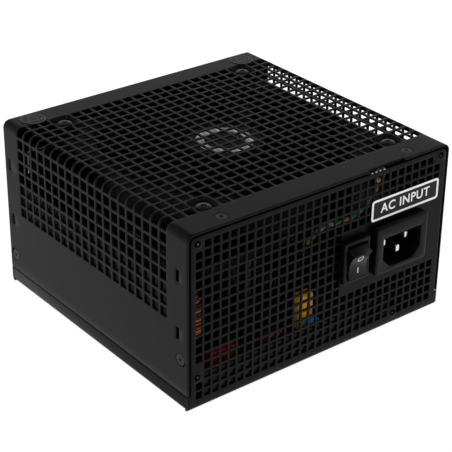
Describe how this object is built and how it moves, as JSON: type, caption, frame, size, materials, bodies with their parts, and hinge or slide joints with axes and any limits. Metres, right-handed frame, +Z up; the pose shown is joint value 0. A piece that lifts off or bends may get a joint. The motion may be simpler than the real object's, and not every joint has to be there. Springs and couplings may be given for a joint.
{
  "type": "power supply unit",
  "caption": "Black desktop-computer power supply: perforated steel casing, top fan, mains inlet, rocker switch and modular output sockets",
  "frame": {"origin": "middle of the casing's underside, halfway between the outer faces of the two end panels", "axes": "+Z up towards the fan side; -Y out of the mains panel; +X towards the inlet's end of the mains panel"},
  "size_m": [0.148, 0.15, 0.0847],
  "materials": {
    "steel_black": "fine textured matt powder coat",
    "zinc_black": "black zinc plating, satin",
    "steel_bright": "ground",
    "nickel": "nickel plated",
    "brass": "sintered",
    "copper": "enamelled copper winding",
    "aluminium": "mill finish",
    "plastic_black": "fine moulded texture",
    "plastic_gloss": "smooth moulded",
    "foil": "satin foil sticker",
    "label_black": "printed film, white border",
    "label_grey": "printed film",
    "pcb_green": "solder mask",
    "fibre": "insulating film",
    "ferrite": "sintered ferrite",
    "tape_yellow": "polyester tape",
    "epoxy_yellow": "moulded case",
    "epoxy_red": "dipped case",
    "epoxy_blue": "dipped case",
    "sleeve_black": "shrink sleeve",
    "wire_green": "green and yellow insulation",
    "wire_brown": "brown insulation",
    "wire_black": "black insulation"
  },
  "bodies": {
    "casing": {"board_socket_10": "plastic_black", "board_socket_18": "plastic_black", "bottom_chassis": "steel_black", "bulk_capacitor_1": "sleeve_black", "bulk_capacitor_2": "sleeve_black", "cover_screw_1": "zinc_black", "cover_screw_2": "zinc_black", "cpu_socket_1": "plastic_black", "cpu_socket_2": "plastic_black", "drive_socket": "plastic_black", "earth_wire": "wire_green", "fan_bearing": "brass", "fan_frame": "plastic_black", "fan_lead": "wire_black", "fan_screw_1": "zinc_black", "fan_screw_2": "zinc_black", "fan_screw_3": "zinc_black", "fan_screw_4": "zinc_black", "fan_stator": "copper", "film_capacitor": "epoxy_red", "filter_choke": "copper", "graphics_socket_1": "plastic_black", "graphics_socket_2": "plastic_black", "inlet_housing": "plastic_black", "inlet_pin_earth": "nickel", "inlet_pin_live": "nickel", "inlet_pin_neutral": "nickel", "input_label": "label_black", "insulator_sheet": "fibre", "live_wire": "wire_brown", "main_pcb": "pcb_green", "modular_board": "pcb_green", "output_capacitor_1": "sleeve_black", "output_capacitor_2": "sleeve_black", "pcb_screw_1": "zinc_black", "pcb_screw_2": "zinc_black", "pcb_screw_3": "zinc_black", "pcb_screw_4": "zinc_black", "power_choke": "copper", "primary_heatsink": "aluminium", "seal_screw_1": "zinc_black", "seal_screw_2": "zinc_black", "seal_sticker_1": "foil", "seal_sticker_2": "foil", "secondary_heatsink": "aluminium", "side_screw_left_1": "zinc_black", "side_screw_left_2": "zinc_black", "side_screw_right_1": "zinc_black", "side_screw_right_2": "zinc_black", "switch_frame": "plastic_black", "top_cover": "steel_black", "transformer_core": "ferrite", "transformer_winding": "tape_yellow", "x_capacitor": "epoxy_yellow", "y_capacitor": "epoxy_blue"},
    "fan": {"fan_rotor": "plastic_black", "fan_hub_label": "label_grey", "fan_shaft": "steel_bright"},
    "rocker": {"switch_rocker": "plastic_gloss"}
  },
  "joints": [
    {"name": "fan_spin", "type": "hinge", "parent": "casing", "child": "fan", "pos_m": [0.0004, -0.0004, 0.07], "axis": [0, 0, 1], "continuous": true},
    {"name": "switch_rock", "type": "hinge", "parent": "casing", "child": "rocker", "pos_m": [0.0168, -0.071, 0.0446], "axis": [-1, 0, 0], "range_deg": [0, 26]}
  ]
}
